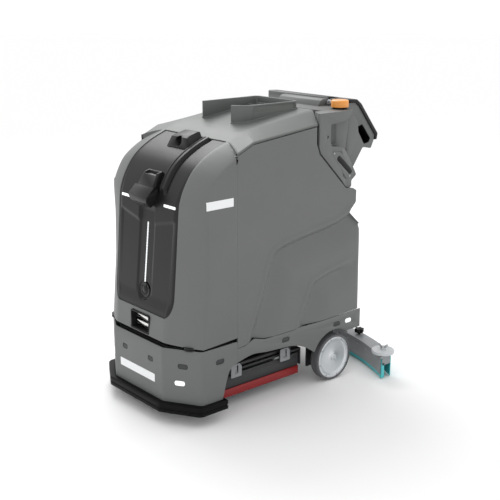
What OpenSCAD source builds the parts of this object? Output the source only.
// Walk-behind floor scrubber machine with a sensor front, as an assembly of its real pieces.
// Front faces -Y, the floor is Z = 0, X = 0 is the middle plane. The origin is on the floor,
// under the middle of the outline: bumper front to squeegee back.

/* [Body] */
// Width across the body sides
body_w = 610; // [600:2:620]
// Wall of the moulded covers
cover_wall = 5; // [4:0.5:7]
// Height of the lower edge of the base cover
base_bottom = 78; // [74:1:82]
// Height of the upper edge of the base cover
base_top = 304; // [300:1:306]
// Height of the lower edge of the front cover
body_bottom = 320; // [312:1:324]
// Lean of the front face, run over rise
front_lean = 0.1025; // [0.08:0.0025:0.12]

/* [Drive wheels and casters] */
// Tyre radius
tyre_r = 100; // [98:0.5:102]
// Tyre width
tyre_w = 45; // [40:1:48]
// Hub motor cover radius
hub_r = 91; // [86:1:93]
// Place of the drive axle, behind the origin
axle_y = 248; // [244:1:250]
// Caster wheel radius
caster_r = 37.5; // [35:0.5:40]
// Distance from swivel axis to caster axle
caster_trail = 30; // [24:1:34]

/* [Brush deck] */
// Radius of the disc brush
brush_r = 212; // [190:1:214]
// Middle of the disc brush along the machine
brush_y = -115; // [-118:1:-112]
// How far the deck goes down from its raised place
deck_drop = 43; // [36:1:44]

/* [Squeegee] */
// Radius of the curve of the squeegee seen from above
squeegee_curve_r = 945; // [930:1:960]
// Half of the squeegee width
squeegee_half = 443; // [430:1:446]

/* [Console] */
// Radius of the emergency stop button
estop_r = 36; // [30:1:38]
// Half width of the console between its ears
console_half = 240; // [236:1:242]

/* [Hidden] */

half_w = body_w / 2;
side_x = half_w - cover_wall;
gap = 0.5;                       // shut line between covers of one body
base_front = -545;               // front flat of the base cover
front_flat = 165;                // half width of the front flat
corner_run = 85;                 // length of the front corner chamfer
seam_y = -285;                   // upright seam between front cover and tank
rear_y = 404;                    // back of the tank
bumper_front = -570;
tyre_x0 = 262;                   // inner face of the drive tyres
axle_z = tyre_r;
frame_z = 292;                   // underside of the frame plate
frame_t = 12;
tank_floor = 308;
caster_x = 150;
caster_y = -430;
skirt_x = 236;                   // inner face of the splash skirts
deck_z = 150;                    // underside of the deck plate
deck_front = -339;
rim_r = 222.5;                   // ring round the brush, inside the skirts
deck_back = 112;
strip_front = -325;              // the side skirts and red strips are shorter than the deck
strip_back = 95;
brush_bottom = deck_drop + 3;    // the bristles reach the floor when the deck is down
blade_bottom = deck_drop + 9;
actuator_y = 62;
squeegee_cy = 570 - squeegee_curve_r;   // centre of the squeegee curve
squeegee_pivot = [330, 150];            // Y and Z of the lift pivot
hose_r = 22;
hose_at = [541, 400];                   // Y of the upright stretch and Z of the level one
roller_at = [414, 437];                 // X and Y of the squeegee end rollers
cover_axis = [206, 1136];               // Y and Z of the top cover hinge
estop_at = [240, 313];
housing_top = 1146;
key_at = [142, 1160];                   // X and Z of the key switch
key_r = 11;
panel_half = 196;

$fn = 64;

// ---- helpers ---------------------------------------------------------------------------

// outline given in Y and Z, carried along X
module along_x(points, x0, x1) {
    translate([x0, 0, 0]) rotate([90, 0, 90]) linear_extrude(x1 - x0) polygon(points);
}

// outline given in X and Z, carried along Y
module along_y(points, y0, y1) {
    translate([0, y1, 0]) rotate([90, 0, 0]) linear_extrude(y1 - y0) polygon(points);
}

module both_sides() {
    children();
    mirror([1, 0, 0]) children();
}

// solid box from its low corner to its high corner
module block(low, high) {
    translate(low) cube([high[0] - low[0], high[1] - low[1], high[2] - low[2]]);
}

module rod_x(r, x0, x1, y, z) {
    translate([x0, y, z]) rotate([0, 90, 0]) cylinder(r = r, h = x1 - x0);
}

module rod_y(r, y0, y1, x, z) {
    translate([x, y0, z]) rotate([-90, 0, 0]) cylinder(r = r, h = y1 - y0);
}

module rod_z(r, z0, z1, x, y) {
    translate([x, y, z0]) cylinder(r = r, h = z1 - z0);
}

// slot with round ends, lying along X, cut or grown along Y
module oval_y(length, height, y0, y1) {
    r = height / 2;
    for (s = [-1, 1]) rod_y(r, y0, y1, s * (length / 2 - r), 0);
    block([-(length / 2 - r), y0, -r], [length / 2 - r, y1, r]);
}

// outline of the body from above: flat front, chamfered corners, straight sides
function plan(inset, front, back) = [
    [-front_flat + inset / 4, front + inset], [front_flat - inset / 4, front + inset],
    [half_w - inset, front + corner_run + inset / 4], [half_w - inset, back - 30],
    [half_w - inset - 30, back], [-(half_w - inset - 30), back],
    [-(half_w - inset), back - 30], [-(half_w - inset), front + corner_run + inset / 4]
];

// prism that leans back with the front face
module leaning_body(inset, z0, z1) {
    hull() {
        for (z = [z0, z1]) {
            translate([0, 0, z])
                linear_extrude(0.01)
                    polygon(plan(inset, -532 + front_lean * (z - body_bottom), rear_y));
        }
    }
}

// side outline of the front cover, drawn in by d
function front_side(d) = [
    [-540 + d, body_bottom - 1], [-532 + d, body_bottom], [-479 + d, 838], [-454 + d, 905 - d / 3],
    [-414 + d * 0.8, 968 - d / 2], [-365 + d / 2, 1008 - d * 0.8], [-300, 1043 - d],
    [-247, 1064 - d], [seam_y + 38, 1064 - d], [seam_y + 38, body_bottom - 1]
];

// ---- chassis ---------------------------------------------------------------------------

module chassis_frame() {
    color("dimgray") {
        difference() {
            translate([0, 0, frame_z]) linear_extrude(frame_t)
                polygon(plan(26, base_front, rear_y));
            block([-300, 360, frame_z - 1], [300, rear_y, frame_z + frame_t + 1]);
            block([-90, brush_y - 90, frame_z - 1], [90, brush_y + 90, frame_z + frame_t + 1]);
            rod_z(20, frame_z - 1, frame_z + frame_t + 1, 0, actuator_y);
            block([-45, 170, frame_z - 1], [45, 250, frame_z + frame_t + 1]);
        }
        // front cross bar behind the bumper and the plates over the casters
        difference() {
            union() {
                block([-150, -528, 84], [150, -506, 104]);
                both_sides() {
                    block([caster_x - 45, -506, 112], [caster_x + 45, caster_y + 45, 120]);
                    block([caster_x - 45, -528, 104], [caster_x - 37, -490, 120]);
                    block([caster_x + 37, -506, 120], [caster_x + 45, caster_y + 45, frame_z]);
                    block([caster_x - 45, -506, 120], [caster_x - 37, caster_y + 45, frame_z]);
                }
            }
            both_sides() rod_z(8.05, 100, 130, caster_x, caster_y);
        }
        // side plates that carry the axle brackets
        both_sides() difference() {
            block([212, 170, 52], [220, 330, frame_z]);
            rod_x(12.05, 200, 230, axle_y, axle_z);
        }
        // rear cross plate and the two ears of the squeegee pivot
        block([-220, 330, 190], [220, 338, frame_z]);
        both_sides() {
            difference() {
                block([70, 310, 132], [78, 350, 190]);
                rod_x(8.05, 60, 90, squeegee_pivot[0], squeegee_pivot[1]);
            }
            block([70, 330, 189], [78, 338, 200]);
        }
    }
}

module base_front_cover() {
    color([0.45, 0.46, 0.46])
    difference() {
        union() {
            difference() {
                translate([0, 0, base_bottom])
                    linear_extrude(base_top - base_bottom) polygon(plan(0, base_front, rear_y));
                translate([0, 0, base_bottom - 1])
                    linear_extrude(base_top - base_bottom + 2)
                        polygon(plan(cover_wall, base_front, rear_y));
            }
            // inward lip along the upper edge
            difference() {
                translate([0, 0, base_top - 5])
                    linear_extrude(5) polygon(plan(1, base_front, rear_y));
                translate([0, 0, base_top - 6]) linear_extrude(7)
                    polygon(plan(24, base_front, rear_y));
            }
        }
        block([-400, seam_y, 0], [400, 500, 400]);
        // brush opening on both sides
        along_x([[-362, 70], [-340, 160], [-328, 192], [-312, 209], [-272, 220], [-272, 70]],
            -400, 400);
        for (s = sonar_places()) sonar_cut(s);
        for (s = light_places()) sonar_cut(s);
    }
}

// outline of the side panel behind the seam: brush opening, wheel arch and tank edge
function side_panel() = [
    [seam_y + gap, 219], [-240, 226], [-214, 232], [-193, 232], [-137, 223], [-6, 215], [60, 196],
    [118, 162], [126, 138], [134, 152], [160, 187], [200, 215], [248, 225], [300, 214], [330, 200],
    [rear_y - 4, 200], [rear_y - 4, 286], [159, 281], [38, 284], [8, 279], [-144, 280],
    [-200, 296], [-250, 277], [seam_y + gap, 276]
];

module base_side_panel() {
    difference() {
        union() {
            along_x(side_panel(), side_x, half_w);
            // inner lip round the wheel
            difference() {
                rod_x(129, 250, side_x + 1, axle_y, axle_z);
                rod_x(125, 249, half_w + 2, axle_y, axle_z);
                block([240, 0, -50], [320, 500, 160]);
                block([240, 322, -50], [320, 500, 400]);
            }
        }
        rod_x(125, 240, half_w + 2, axle_y, axle_z);
        for (s = sonar_places()) sonar_cut(s);
        for (s = light_places()) sonar_cut(s);
    }
}

module base_side_panel_right() {
    color([0.45, 0.46, 0.46]) base_side_panel();
}

module base_side_panel_left() {
    color([0.45, 0.46, 0.46]) mirror([1, 0, 0]) base_side_panel();
}

// the bumper hugs the base cover from outside and reaches in under its lower edge
module front_bumper() {
    outer = [[-170, bumper_front], [170, bumper_front], [322, -481], [322, -348],
        [-322, -348], [-322, -481]];
    color([0.1, 0.1, 0.11])
    difference() {
        translate([0, 0, 48]) linear_extrude(38) polygon(outer);
        translate([0, 0, base_bottom - 1]) linear_extrude(20)
            polygon(plan(-gap, base_front, rear_y));
        translate([0, 0, 40]) linear_extrude(60) polygon(plan(16, base_front, rear_y));
        block([-400, -349, 40], [400, 0, 100]);
    }
}

// ---- front cover and sensors -----------------------------------------------------------

// opening for the sensor panel, seen from the front, grown by d
function panel_outline(d) = [
    [-145 - d, 411 - d], [145 + d, 411 - d], [175 + d, 440], [panel_half + d, 500],
    [panel_half + d, 1200], [-panel_half - d, 1200], [-panel_half - d, 500], [-175 - d, 440]
];

module front_cover() {
    color([0.48, 0.49, 0.49])
    difference() {
        intersection() {
            leaning_body(0, body_bottom, 1100);
            along_x(front_side(0), -half_w, half_w);
            along_y([[-half_w, 300], [half_w, 300], [half_w, 1033], [209, 1066], [-209, 1066],
                [-half_w, 1033]], -600, 0);
        }
        intersection() {
            leaning_body(cover_wall, body_bottom - 1, 1101);
            along_x(front_side(cover_wall), -half_w, half_w);
            along_y([[-side_x, 300], [side_x, 300], [side_x, 1029], [208, 1061], [-208, 1061],
                [-side_x, 1029]], -600, 0);
        }
        block([-400, seam_y, 0], [400, 0, 1200]);
        along_y(panel_outline(1), -600, -230);
        block([-64, -600, 322], [64, -500, 400]);
    }
}

module sensor_panel() {
    color([0.2, 0.2, 0.2])
    difference() {
        intersection() {
            leaning_body(3, body_bottom, 1100);
            along_x(front_side(3), -half_w, half_w);
            along_y(panel_outline(0), -600, -249);
        }
        intersection() {
            leaning_body(9, body_bottom - 1, 1101);
            along_x(front_side(9), -half_w, half_w);
        }
        // seats of the camera box, the light strip and the lower camera
        block([-62, -600, 872], [62, -400, 950]);
        block([-4, -600, 518], [4, -460, 756]);
        rod_y(26, -560, -480, 0, 486);
        rod_y(15.5, -340, -269, 0, 1058);
    }
}

// raised hood over the upper camera, where the panel meets the top cover
module sensor_hood() {
    outline = [[-332, 1024], [-322, 1062], [-262, 1084], [-252, 1083], [-252, 1060.5],
        [-300, 1041]];
    color([0.17, 0.17, 0.17])
    difference() {
        along_x(outline, -62, 62);
        rod_y(15.5, -340, -270, 0, 1058);
    }
}

module top_camera() {
    color([0.05, 0.05, 0.06]) rod_y(15, -318, -270, 0, 1058);
}

// box and visor that stand out of the middle of the panel
module depth_camera() {
    color([0.16, 0.16, 0.16]) {
        difference() {
            along_x([[-436, 946], [-470, 908], [-494, 882], [-520, 860], [-516, 834],
                [-486, 822], [-474, 852], [-456, 892], [-422, 946]], -60, 60);
            block([-44, -560, 800], [44, -489, 855]);
        }
    }
}

module depth_camera_window() {
    color([0.05, 0.05, 0.06])
        along_x([[-490, 828], [-512, 838], [-514, 850], [-490, 850]], -43, 43);
}

module marker_lights() {
    color("white") both_sides() block([104, -485, 832], [178, -476.7, 843]);
}

module light_strip() {
    color("white")
    along_x([for (z = [520, 754]) [-532 + front_lean * (z - body_bottom) + 1, z],
        for (z = [754, 520]) [-532 + front_lean * (z - body_bottom) + 9, z]], -3, 3);
}

module lower_camera() {
    color([0.07, 0.07, 0.08]) {
        rod_y(25, -515, -500, 0, 486);
        rod_y(12, -500, -490, 0, 486);
    }
}

module charging_socket() {
    color([0.12, 0.12, 0.12])
    difference() {
        block([-63, -529, 323], [63, -480, 399]);
        block([-57, -540, 329], [57, -492, 393]);
        for (z = [342, 368]) block([-46, -500, z - 0.5], [46, -470, z + 14.5]);
    }
}

module charge_contacts() {
    color("gainsboro") for (z = [342, 368]) block([-45, -506, z], [45, -476, z + 14]);
}

// places of the dark oval windows: X, Y, Z and turn about Z, mirrored by both_sides
function sonar_places() = [
    for (s = [-1, 1]) each [
        [s * 88, base_front, 238, 0, 34, 20],
        [s * 238, base_front + 44, 238, s * 31.3, 40, 20],
        [s * half_w, -373, 245, s * 90, 40, 20],
        [s * half_w, -32, 250, s * 90, 40, 20],
        [s * half_w, 262, 248, s * 90, 40, 20]
    ]
];

// places of the white oval lights
function light_places() = [
    for (s = [-1, 1]) each [
        [s * 226, base_front + 37, 168, s * 31.3, 42, 19],
        [s * half_w, 330, 248, s * 90, 34, 18]
    ]
];

module at_place(s) {
    translate([s[0], s[1], s[2]]) rotate([0, 0, s[3]]) children();
}

module sonar_cut(s) {
    at_place(s) oval_y(s[4] + 0.6, s[5] + 0.6, -12, 14);
}

module sonar_sensors() {
    color([0.22, 0.23, 0.24])
        for (s = sonar_places()) at_place(s) oval_y(s[4], s[5], 0.5, 12);
}

module corner_lights() {
    color("white") for (s = light_places()) at_place(s) oval_y(s[4], s[5], -0.5, 10);
}

// scanner windows in the groove at the front corners, standing on the frame plate
module corner_lidars() {
    color([0.06, 0.06, 0.07]) both_sides() {
        rod_z(30, frame_z + frame_t, body_bottom - 2, 240, -462);
    }
}

// ---- tanks and top cover ---------------------------------------------------------------

// side outline of the tank with the waist groove at the back
function tank_side() = [
    [seam_y + gap, 278], [-250, 279], [-200, 298], [-144, 282], [8, 281], [38, 286],
    [159, 283], [rear_y, 289], [rear_y - 4, 640], [rear_y - 12, 662], [326, 722], [332, 738],
    [362, 762], [362, 812], [345, 822], [298, 830], [145, 985], [128, 1030], [128, 1096],
    [-206, 1060], [seam_y + gap, 1025]
];

module solution_tank() {
    color([0.45, 0.46, 0.46])
    difference() {
        intersection() {
            along_x(tank_side(), -half_w, half_w);
            linear_extrude(1200) polygon(plan(0, -532, rear_y));
        }
        // room for the frame plate and the base panels below
        block([-282, -300, 200], [282, 420, tank_floor]);
        both_sides() block([side_x - 20, -300, 270], [side_x - 1, 420, tank_floor]);
        // machine bay, open below and towards the front cover
        block([-190, -300, 300], [190, 345, 690]);
        block([-190, 340, 300], [190, 394, 630]);
        // seat of the recovery tank, open above
        block([-204, -272, 704], [204, 122, 1200]);
        // side water rooms
        both_sides() {
            along_x([[-276, 320], [394, 320], [391, 636], [345, 690], [-276, 690]], 196, side_x);
            along_x([[-276, 688], [345, 688], [316, 718], [324, 742], [350, 766], [350, 806],
                [294, 818], [135, 975], [118, 1020], [118, 1085], [-200, 1050], [-276, 1016]],
                211, side_x);
        }
        along_x([[130, 712], [312, 712], [316, 742], [346, 768], [346, 806], [294, 818],
            [142, 966]], -204, 204);
        // sculpted side recess
        both_sides() along_x([[-214, 330], [-165, 560], [-132, 612], [20, 692], [60, 699],
            [60, 690], [140, 640], [152, 624], [60, 560], [24, 330]], half_w - 8, half_w + 1);
        // hose inlet at the back
        rod_y(hose_r + gap, 380, 420, 0, hose_at[1]);
    }
}

module recovery_tank() {
    color([0.3, 0.31, 0.32])
    difference() {
        block([-200, -268, 706], [200, 118, 1040]);
        block([-195, -263, 711], [195, 113, 1041]);
    }
}

// flat top between two falling flanks
module cover_skin() {
    corners = [[208, -245, 1065], [304, -283.5, 1036], [304, -206, 1071], [198, 194, 1148],
        [304, 127, 1106], [0, -245, 1067], [0, 194, 1151]];
    hull() {
        for (s = [-1, 1]) {
            for (c = corners) translate([s * c[0], c[1], c[2]]) cube(1, center = true);
        }
    }
}

// space under the top cover
module cover_room() {
    hull() {
        translate([0, 0, -9]) cover_skin();
        block([-303, -283, 900], [303, 194, 901]);
    }
}

// raised wall round the filler, open at its front left
module tray_wall() {
    outer = [[-133, -104], [-120, -112], [62, -116], [104, -88], [120, -56], [124, 180],
        [110, 192], [-120, 192], [-133, 180]];
    inner = [[-122, -130], [60, -130], [60, -104], [98, -80], [110, -52], [113, 176], [104, 181],
        [-114, 181], [-122, 174]];
    translate([0, 0, 1072]) linear_extrude(105)
        difference() {
            polygon(outer);
            polygon(inner);
        }
}

module top_cover() {
    color([0.57, 0.59, 0.58]) {
        difference() {
            union() {
                cover_skin();
                tray_wall();
            }
            cover_room();
            block([-230, -300, 900], [230, -246.5, 1200]);
            rod_z(40, 1000, 1200, 0, 60);
        }
        // hinge knuckles at the back edge
        both_sides() {
            difference() {
                union() {
                    rod_x(9, 118, 150, cover_axis[0], cover_axis[1]);
                    block([118, 190, cover_axis[1] - 2], [150, cover_axis[0], cover_axis[1] + 9]);
                }
                rod_x(4.05, 110, 160, cover_axis[0], cover_axis[1]);
            }
        }
    }
}

module cover_hinge_pin() {
    color("silver") rod_x(4, -181, 181, cover_axis[0], cover_axis[1]);
}

// screw cap of the water filler in the tray floor
module fill_cap() {
    color([0.2, 0.2, 0.2]) {
        rod_z(39.7, 1108, 1136, 0, 60);
        rod_z(46, 1136, 1147, 0, 60);
        block([-36, 54, 1147], [36, 66, 1160]);
    }
}

// ---- console ---------------------------------------------------------------------------

module console_housing() {
    outline = [[200, 932], [300, 834], [352, 826], [413, 911], [458, 973], [508, 963], [525, 998],
        [528, 1016], [426, 1146], [404, 1163], [357, 1164], [351, housing_top], [218, housing_top],
        [218, 1085], [200, 1080]];
    room = [[208, 1070], [208, 940], [303, 850], [345, 838], [398, 920], [446, 985],
        [405, 1050], [412, 1078], [450, 1092], [410, 1138], [226, 1138], [226, 1076]];
    finger_gap = [[415, 1060], [450, 1071], [503, 1006], [494, 990], [464, 985]];
    ear = [[131, 1033], [148, 988], [300, 834], [347, 827], [346, 853], [375, 873], [342, 928],
        [376, 985], [400, 1040], [392, 1090], [345, housing_top], [131, housing_top]];
    arm = [[131, 1033], [148, 988], [300, 834], [329, 825], [347, 827], [346, 853], [375, 873],
        [342, 928], [294, 985], [262, 1004], [206, 1010], [199, 1030], [199, 1098], [262, 1104],
        [318, 1112], [345, housing_top - 4], [340, housing_top], [131, housing_top]];
    color([0.47, 0.48, 0.48]) {
        difference() {
            union() {
                along_x(outline, -console_half, console_half);
                // ears on both sides, cut back to the slanted rear edge of the top cover
                both_sides() {
                    intersection() {
                        union() {
                            along_x(ear, console_half - 0.1, 268);
                            along_x(arm, 267.9, half_w);
                        }
                        linear_extrude(1200) polygon([[200, 198], [half_w + 1, 131],
                            [half_w + 1, 260], [285, 345], [285, 400], [console_half - 1, 440],
                            [200, 440]]);
                    }
                }
                // raised middle block in front of the screen
                along_x([[300, housing_top - 1], [318, 1168], [330, 1173], [365.5, 1173],
                    [365.5, housing_top - 1]], -125, 125);
                // collar of the key switch
                block([key_at[0] - 18, 362, housing_top - 1], [key_at[0] + 15, 384, key_at[1]]);
                rod_y(15, 362, 384, key_at[0], key_at[1]);
            }
            along_x(room, -console_half + 6, console_half - 6);
            along_x(finger_gap, -400, 400);
            rod_y(key_r + 0.05, 340, 400, key_at[0], key_at[1]);
            // seats of the side camera plates
            both_sides() along_x(camera_plate(0.5), half_w - 6, half_w + 1);
            both_sides() rod_x(6, half_w - 8, half_w + 1, 182, 1051);
        }
        // knuckles of the top cover hinge
        both_sides() {
            difference() {
                union() {
                    rod_x(9, 152, 182, cover_axis[0], cover_axis[1]);
                    block([152, cover_axis[0], cover_axis[1] - 9], [182, 219, cover_axis[1] + 2]);
                }
                rod_x(4.05, 140, 190, cover_axis[0], cover_axis[1]);
            }
        }
    }
}

// slab that carries the screen, bent over the top of the console
module console_bezel() {
    color([0.08, 0.08, 0.09])
    difference() {
        along_x([[366, 1164.5], [404, 1163.5], [426.5, 1146.5], [528.5, 1016], [525.5, 998],
            [538, 999], [543, 1024], [483, 1099], [437, 1157], [410, 1177], [366, 1179]],
            -245, 245);
        // notch round the key switch
        block([key_at[0] - 19, 360, 1160], [key_at[0] + 16, 398, 1185]);
    }
}

module touch_screen() {
    color([0.03, 0.03, 0.04])
    along_x([[484, 1098.5], [489, 1101.5], [543, 1034], [540, 1028]], -232, 232);
}

module key_switch() {
    color("silver") {
        rod_y(key_r, 346, 396, key_at[0], key_at[1]);
        block([key_at[0] - 1.5, 338, key_at[1] - 7], [key_at[0] + 1.5, 347, key_at[1] + 7]);
    }
}

module estop_base() {
    color([0.1, 0.1, 0.1])
    difference() {
        rod_z(30, housing_top, housing_top + 6, estop_at[0], estop_at[1]);
        rod_z(8.05, housing_top - 1, housing_top + 7, estop_at[0], estop_at[1]);
    }
}

module estop_button() {
    color([1, 0.65, 0.25]) {
        rod_z(estop_r, housing_top + 13, housing_top + 31, estop_at[0], estop_at[1]);
        rod_z(estop_r - 5, housing_top + 31, housing_top + 36, estop_at[0], estop_at[1]);
        rod_z(8, housing_top + 6.5, housing_top + 14, estop_at[0], estop_at[1]);
    }
}

// slanted plate on the ear, grown by d
function camera_plate(d) = [
    [203 - d, 984], [212, 992 + d], [262, 984 + d], [340 + d, 886], [338 + d, 880],
    [306, 866 - d], [298, 868 - d]
];

module side_camera_plates() {
    color([0.4, 0.41, 0.41]) both_sides()
    difference() {
        along_x(camera_plate(0), half_w - 6, half_w - 2);
        camera_slot(0.3);
    }
}

// oblong window between two round ends on the slant of the plate
module camera_slot(d) {
    a = [252, 956];
    b = [318, 897];
    span = [b[0] - a[0], b[1] - a[1]];
    turn = atan2(span[1], span[0]);
    translate([half_w - 6, a[0], a[1]]) rotate([turn, 0, 0]) {
        rod_x(11 + d, 0, 5, 0, 0);
        rod_x(11 + d, 0, 5, norm(span), 0);
        block([0, 0, -11 - d], [5, norm(span), 11 + d]);
    }
}

module side_camera_windows() {
    color([0.03, 0.03, 0.04]) both_sides() camera_slot(0);
}

// ---- drive wheels and casters ----------------------------------------------------------

module drive_tyre() {
    difference() {
        union() {
            rod_x(tyre_r, tyre_x0 + 5, tyre_x0 + tyre_w - 5, axle_y, axle_z);
            rod_x(tyre_r - 3, tyre_x0, tyre_x0 + tyre_w, axle_y, axle_z);
        }
        rod_x(hub_r, tyre_x0 - 1, tyre_x0 + tyre_w + 1, axle_y, axle_z);
    }
}

module drive_hub() {
    rod_x(hub_r, tyre_x0 + 2, tyre_x0 + tyre_w - 2, axle_y, axle_z);
    rod_x(30, tyre_x0 + tyre_w - 3, tyre_x0 + tyre_w, axle_y, axle_z);
    rod_x(12, 214, tyre_x0 + 3, axle_y, axle_z);
}

module drive_tyre_right() {
    color([0.25, 0.25, 0.26]) drive_tyre();
}

module drive_tyre_left() {
    color([0.25, 0.25, 0.26]) mirror([1, 0, 0]) drive_tyre();
}

module drive_hub_right() {
    color("silver") drive_hub();
}

module drive_hub_left() {
    color("silver") mirror([1, 0, 0]) drive_hub();
}

// bearing blocks bolted to the side plates
module axle_brackets() {
    color("gray") both_sides()
    difference() {
        union() {
            rod_x(34, 220, 250, axle_y, axle_z);
            block([220, axle_y - 34, axle_z], [250, axle_y + 34, 160]);
        }
        rod_x(12.05, 210, 260, axle_y, axle_z);
    }
}

module caster_fork(x) {
    color("silver") translate([x, caster_y, 0])
    difference() {
        union() {
            rod_z(8, 106, 126, 0, 0);
            rod_z(32, 100, 111.5, 0, 0);
            both_sides() along_x([[-26, 101], [26, 101], [caster_trail + 12, caster_r + 8],
                [caster_trail + 12, caster_r - 8], [caster_trail - 12, caster_r - 8],
                [caster_trail - 12, caster_r + 8]], 15, 19);
        }
        block([-15, -60, 0], [15, 80, 96]);
        rod_x(5.05, -30, 30, caster_trail, caster_r);
    }
}

module caster_wheel(x) {
    color([0.2, 0.2, 0.2]) translate([x, caster_y, 0]) {
        rod_x(caster_r, -12.5, 12.5, caster_trail, caster_r);
        rod_x(5, -20, 20, caster_trail, caster_r);
    }
}

module caster_fork_left() {
    caster_fork(-caster_x);
}

module caster_fork_right() {
    caster_fork(caster_x);
}

module caster_wheel_left() {
    caster_wheel(-caster_x);
}

module caster_wheel_right() {
    caster_wheel(caster_x);
}

// ---- brush deck ------------------------------------------------------------------------

module brush_deck() {
    color([0.15, 0.15, 0.16]) {
        difference() {
            block([-skirt_x, deck_front, deck_z], [skirt_x, deck_back, deck_z + 8]);
            rod_z(14, deck_z - 1, deck_z + 9, 0, brush_y);
        }
        // rim that holds the water in round the brush
        difference() {
            rod_z(rim_r, 112, deck_z + 1, 0, brush_y);
            rod_z(rim_r - 4, 111, deck_z + 2, 0, brush_y);
        }
        // long bars under the hook plates
        both_sides() rod_y(9, strip_front + 40, strip_back - 30, skirt_x - 12, deck_z + 20);
        both_sides() for (y = [strip_front + 40, strip_back - 42])
            block([skirt_x - 18, y, deck_z + 7], [skirt_x - 6, y + 12, deck_z + 20]);
        // lug of the lift rod
        block([-16, actuator_y - 16, deck_z + 7], [16, actuator_y + 16, deck_z + 22]);
    }
}

module hook_plate(y) {
    difference() {
        block([skirt_x + 13, y, 130], [skirt_x + 17, y + 55, 186]);
        // J shaped slot
        block([skirt_x + 12, y + 30, 150], [skirt_x + 18, y + 35, 178]);
        block([skirt_x + 12, y + 20, 145], [skirt_x + 18, y + 35, 150]);
    }
    block([skirt_x - 2, y + 8, 142], [skirt_x + 14, y + 47, deck_z]);
}

module deck_hook_plates() {
    color([0.42, 0.43, 0.43]) both_sides() {
        hook_plate(-276);
        hook_plate(-14);
    }
}

module splash_skirts() {
    color([0.3, 0.31, 0.31]) {
        both_sides() {
            block([skirt_x, strip_front, 84], [skirt_x + 5, strip_back, 141.5]);
        }
        block([-skirt_x, deck_front - 5, 84], [skirt_x, deck_front, deck_z + 8]);
        block([-skirt_x, deck_back, 84], [skirt_x, deck_back + 5, deck_z + 8]);
    }
}

module skirt_blades() {
    color([0.55, 0.08, 0.09]) {
        both_sides() block([skirt_x + 5, strip_front, blade_bottom], [skirt_x + 9, strip_back, 86]);
    }
}

module brush_motor() {
    color([0.25, 0.26, 0.28]) {
        rod_z(62, deck_z + 8, 248, 0, brush_y);
        rod_z(42, 247, 282, 0, brush_y);
        rod_z(12, 106, deck_z + 9, 0, brush_y);
    }
}

module disc_brush() {
    color([0.12, 0.22, 0.35])
    difference() {
        union() {
            rod_z(brush_r - 4, 90, 104, 0, brush_y);
            rod_z(40, 103, 130, 0, brush_y);
            difference() {
                rod_z(brush_r, brush_bottom, 91, 0, brush_y);
                rod_z(120, brush_bottom - 1, 90, 0, brush_y);
            }
        }
        rod_z(12.05, 80, 140, 0, brush_y);
    }
}

module lift_actuator() {
    color([0.3, 0.3, 0.32])
    difference() {
        union() {
            rod_z(19.95, 215, 385, 0, actuator_y);
            rod_z(30, frame_z + frame_t, frame_z + frame_t + 10, 0, actuator_y);
        }
        rod_z(9.05, 200, 370, 0, actuator_y);
    }
}

module lift_rod() {
    color("silver") rod_z(9, deck_z + 22, 345, 0, actuator_y);
}

// ---- squeegee --------------------------------------------------------------------------

// band along the squeegee curve between two radii
module squeegee_band(r0, r1, z0, z1, half) {
    intersection() {
        difference() {
            rod_z(r1, z0, z1, 0, squeegee_cy, $fn = 200);
            rod_z(r0, z0 - 1, z1 + 1, 0, squeegee_cy, $fn = 200);
        }
        block([-half, 300, 0], [half, 600, 200]);
    }
}

module squeegee_arm() {
    color([0.2, 0.2, 0.21]) {
        both_sides() {
            difference() {
                along_x([[316, 138], [344, 138], [520, 112], [520, 128], [344, 164],
                    [316, 164]], 80, 88);
                rod_x(8.05, 70, 100, squeegee_pivot[0], squeegee_pivot[1]);
            }
        }
        block([-80.5, 492, 112], [80.5, 513, 122]);
        rod_x(8, -92, 92, squeegee_pivot[0], squeegee_pivot[1]);
        // studs that stand on the squeegee body
        both_sides() rod_z(7, 104, 113, 60, 508);
    }
}

module squeegee_body() {
    color([0.45, 0.46, 0.47]) {
        squeegee_band(squeegee_curve_r - 50, squeegee_curve_r - 6, 62, 96, squeegee_half - 6);
        difference() {
            squeegee_band(squeegee_curve_r - 62, squeegee_curve_r, 96, 104, squeegee_half);
            both_sides() rod_z(6.05, 90, 110, roller_at[0], roller_at[1]);
        }
        // lugs of the end rollers
        both_sides() difference() {
            rod_z(20, 96, 104, roller_at[0], roller_at[1]);
            rod_z(6.05, 90, 110, roller_at[0], roller_at[1]);
        }
        // suction mouth
        difference() {
            rod_z(hose_r + 5, 103, 126, 0, hose_at[0]);
            rod_z(hose_r + gap, 90, 130, 0, hose_at[0]);
        }
    }
}

module squeegee_blades() {
    color([0.25, 0.72, 0.73]) {
        squeegee_band(squeegee_curve_r - 54, squeegee_curve_r - 50.2, 4, 92, squeegee_half - 4);
        squeegee_band(squeegee_curve_r - 5.8, squeegee_curve_r - 2, 2, 92, squeegee_half);
    }
}

module squeegee_roller(s) {
    color([0.75, 0.76, 0.77]) translate([s * roller_at[0], roller_at[1], 0]) {
        rod_z(49, 105, 121, 0, 0);
        rod_z(6, 97, 134, 0, 0);
        rod_z(12, 121, 128, 0, 0);
        block([-22, -4, 128], [22, 4, 146]);
    }
}

module squeegee_roller_right() {
    squeegee_roller(1);
}

module squeegee_roller_left() {
    squeegee_roller(-1);
}

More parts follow.
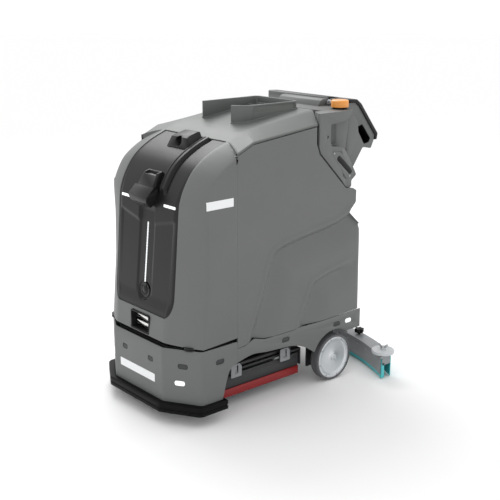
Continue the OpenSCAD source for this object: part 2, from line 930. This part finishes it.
module clamp_knob(s) {
    color([0.08, 0.08, 0.09]) translate([s * 190, 528, 0]) {
        for (a = [0 : 60 : 300]) rotate([0, 0, a]) rod_z(7, 112, 132, 15, 0);
        rod_z(17, 112, 132, 0, 0);
        rod_z(6, 104.3, 113, 0, 0);
    }
}

module clamp_knob_right() {
    clamp_knob(1);
}

module clamp_knob_left() {
    clamp_knob(-1);
}

// hose from the suction mouth up to an elbow and into the back of the tank
module suction_hose() {
    color([0.1, 0.1, 0.1]) {
        rod_z(hose_r, 127, hose_at[1], 0, hose_at[0]);
        translate([0, hose_at[0], hose_at[1]]) sphere(hose_r + 4);
        rod_y(hose_r, 395, hose_at[0], 0, hose_at[1]);
    }
}

// ---- inside the machine ----------------------------------------------------------------

module battery_pack() {
    color([0.15, 0.2, 0.3]) {
        block([-170, -270, frame_z + frame_t + 0.2], [-92, 30, 520]);
        block([92, -270, frame_z + frame_t + 0.2], [170, 30, 520]);
        block([-92.1, -270, 430], [92.1, 30, 520]);
    }
}

module vacuum_motor() {
    color([0.5, 0.5, 0.52]) {
        rod_z(68, 480, 620, 0, 250);
        rod_z(40, frame_z + frame_t + 0.2, 481, 0, 250);
    }
}

module control_box() {
    color([0.3, 0.32, 0.33]) block([-140, -470, frame_z + frame_t + 0.2], [140, -300, 480]);
}

chassis_frame();
base_front_cover();
base_side_panel_left();
base_side_panel_right();
front_bumper();
front_cover();
sensor_panel();
sensor_hood();
top_camera();
depth_camera();
depth_camera_window();
marker_lights();
light_strip();
lower_camera();
charging_socket();
charge_contacts();
sonar_sensors();
corner_lights();
corner_lidars();
solution_tank();
recovery_tank();
top_cover();
cover_hinge_pin();
fill_cap();
console_housing();
console_bezel();
touch_screen();
key_switch();
estop_base();
estop_button();
side_camera_plates();
side_camera_windows();
drive_tyre_left();
drive_tyre_right();
drive_hub_left();
drive_hub_right();
axle_brackets();
caster_fork_left();
caster_fork_right();
caster_wheel_left();
caster_wheel_right();
brush_deck();
deck_hook_plates();
splash_skirts();
skirt_blades();
brush_motor();
disc_brush();
lift_actuator();
lift_rod();
squeegee_arm();
squeegee_body();
squeegee_blades();
squeegee_roller_left();
squeegee_roller_right();
clamp_knob_left();
clamp_knob_right();
suction_hose();
battery_pack();
vacuum_motor();
control_box();
